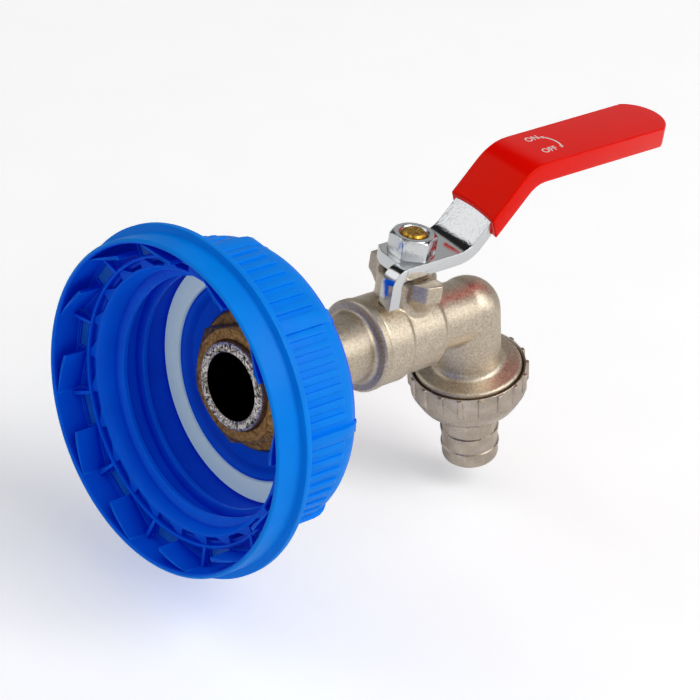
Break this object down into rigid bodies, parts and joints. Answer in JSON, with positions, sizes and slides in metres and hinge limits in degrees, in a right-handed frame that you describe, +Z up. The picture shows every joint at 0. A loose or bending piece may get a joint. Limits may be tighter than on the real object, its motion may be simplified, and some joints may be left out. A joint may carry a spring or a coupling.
{
  "type": "canister tap",
  "caption": "Quarter-turn ball tap on a screw cap with a tamper band for a liquid container, with a lever handle and a barbed hose tail on a union nut.",
  "frame": {"origin": "on the cap's axis, in the middle of the thread that screws onto the container's neck", "axes": "+X from the cap's open mouth through the tap towards its outlet, +Z up the lever's stem, away from the hose tail"},
  "size_m": [0.1529, 0.0822, 0.0863],
  "materials": {
    "cap_blue": "moulded polyethylene, blue, satin",
    "seal_rubber": "white rubber seal",
    "nickel_cast": "sandy cast brass with matt nickel plating",
    "nickel_satin": "turned brass with satin nickel plating",
    "brass_cast": "sandy cast brass",
    "brass_turned": "turned brass",
    "ball_chrome": "polished chrome plating",
    "lever_chrome": "bright chrome plating on steel",
    "ptfe_white": "white PTFE",
    "oring_rubber": "black rubber",
    "sleeve_red": "dipped vinyl, red, glossy"
  },
  "bodies": {
    "valve": {"coupling_cap": "cap_blue", "tamper_band": "cap_blue", "cap_seal": "seal_rubber", "lock_nut": "brass_cast", "outer_washer": "seal_rubber", "inlet_connector": "nickel_satin", "body_oring": "oring_rubber", "valve_body": "nickel_cast", "inlet_seat": "ptfe_white", "outlet_seat": "ptfe_white", "stem_thrust_washer": "ptfe_white", "stem_packing": "ptfe_white", "gland_nut": "nickel_satin"},
    "lever": {"lever": "lever_chrome", "lever_sleeve": "sleeve_red", "lever_nut": "lever_chrome", "stem": "brass_turned", "stem_oring": "oring_rubber", "ball": "ball_chrome"},
    "hose_tail": {"hose_tail": "nickel_satin", "hose_washer": "seal_rubber"},
    "union_nut": {"union_nut": "nickel_satin"}
  },
  "joints": [
    {"name": "lever_turn", "type": "hinge", "parent": "valve", "child": "lever", "pos_m": [0.05685, 0, 0.02], "axis": [0, 0, 1], "range_deg": [-90, 0]},
    {"name": "tail_slide", "type": "slide", "parent": "valve", "child": "hose_tail", "axis": [0.2419, 0, -0.9703], "range_m": [0, 0.0063]},
    {"name": "nut_turn", "type": "hinge", "parent": "hose_tail", "child": "union_nut", "pos_m": [0.08576, 0, -0.02329], "axis": [0.2419, 0, -0.9703], "range_deg": [0, 1250]}
  ],
  "couplings": [
    {"joint": "nut_turn", "follows": "tail_slide", "rad_per_m": 3463.7}
  ]
}
